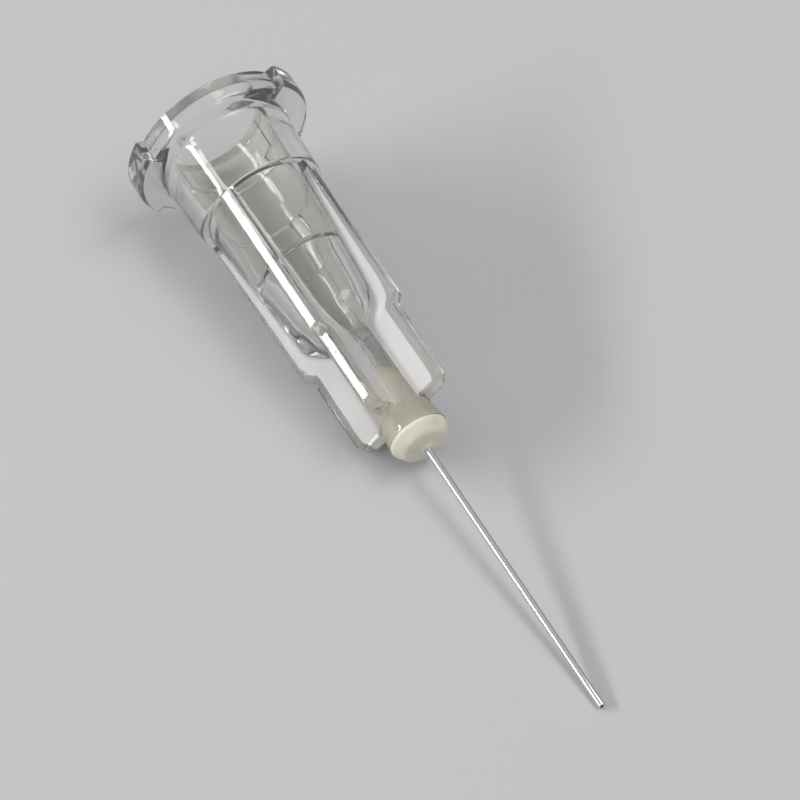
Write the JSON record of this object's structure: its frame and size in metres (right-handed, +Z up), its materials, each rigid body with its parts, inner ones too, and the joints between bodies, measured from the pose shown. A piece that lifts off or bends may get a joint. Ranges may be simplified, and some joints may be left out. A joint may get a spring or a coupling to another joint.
{
  "type": "dispensing needle tip",
  "caption": "Blunt dispensing needle with a clear finned slip-fit hub, a thin straight steel tube and a cream adhesive bead at the nose, lying on its side.",
  "frame": {"origin": "centre of the footprint, on the surface the part lies on", "axes": "+Z up, +X along the length towards the free end of the steel tube; the hub's own axis runs 6.4 degrees down towards +X, because the part rests on its flange and on the end of its tube"},
  "size_m": [0.031, 0.0078, 0.0071],
  "materials": {
    "clear_plastic": "clear moulded polypropylene, polished body, finely grained fin faces",
    "stainless_tube": "drawn stainless steel tube, bright",
    "cured_adhesive": "cured cream epoxy, satin"
  },
  "bodies": {
    "root": {"hub": "clear_plastic", "cannula": "stainless_tube", "adhesive": "cured_adhesive"}
  },
  "joints": []
}
